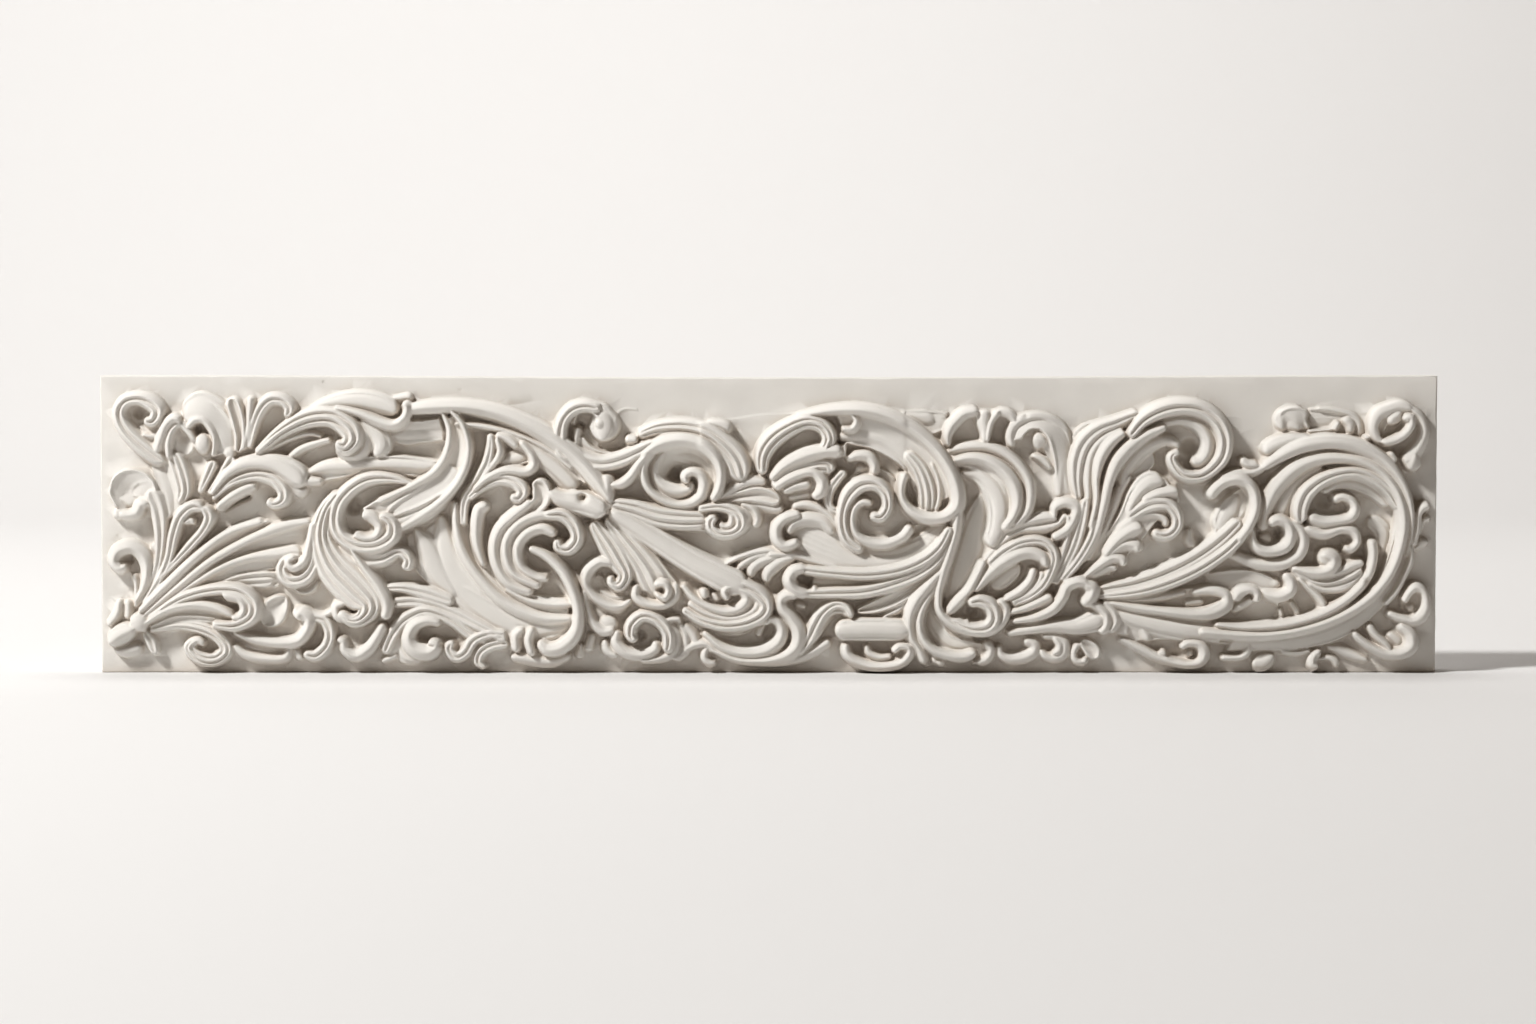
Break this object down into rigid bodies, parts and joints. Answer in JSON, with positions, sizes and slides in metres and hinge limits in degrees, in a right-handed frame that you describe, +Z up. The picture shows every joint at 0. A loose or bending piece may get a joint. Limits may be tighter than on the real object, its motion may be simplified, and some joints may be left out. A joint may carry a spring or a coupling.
{
  "type": "frieze moulding",
  "caption": "Plain rectangular plaster slab with running acanthus scrolls in high relief on its face, cut square at both ends, for a frieze or crown moulding.",
  "frame": {"origin": "centre of the footprint on the lower edge, under the middle of the slab and its relief", "axes": "+X along the moulding's length, -Y out of the carved face, +Z up across its width"},
  "size_m": [1, 0.058, 0.2225],
  "materials": {
    "plaster": "matt, as cast, unpainted"
  },
  "bodies": {
    "root": {"relief_panel": "plaster"}
  },
  "joints": []
}
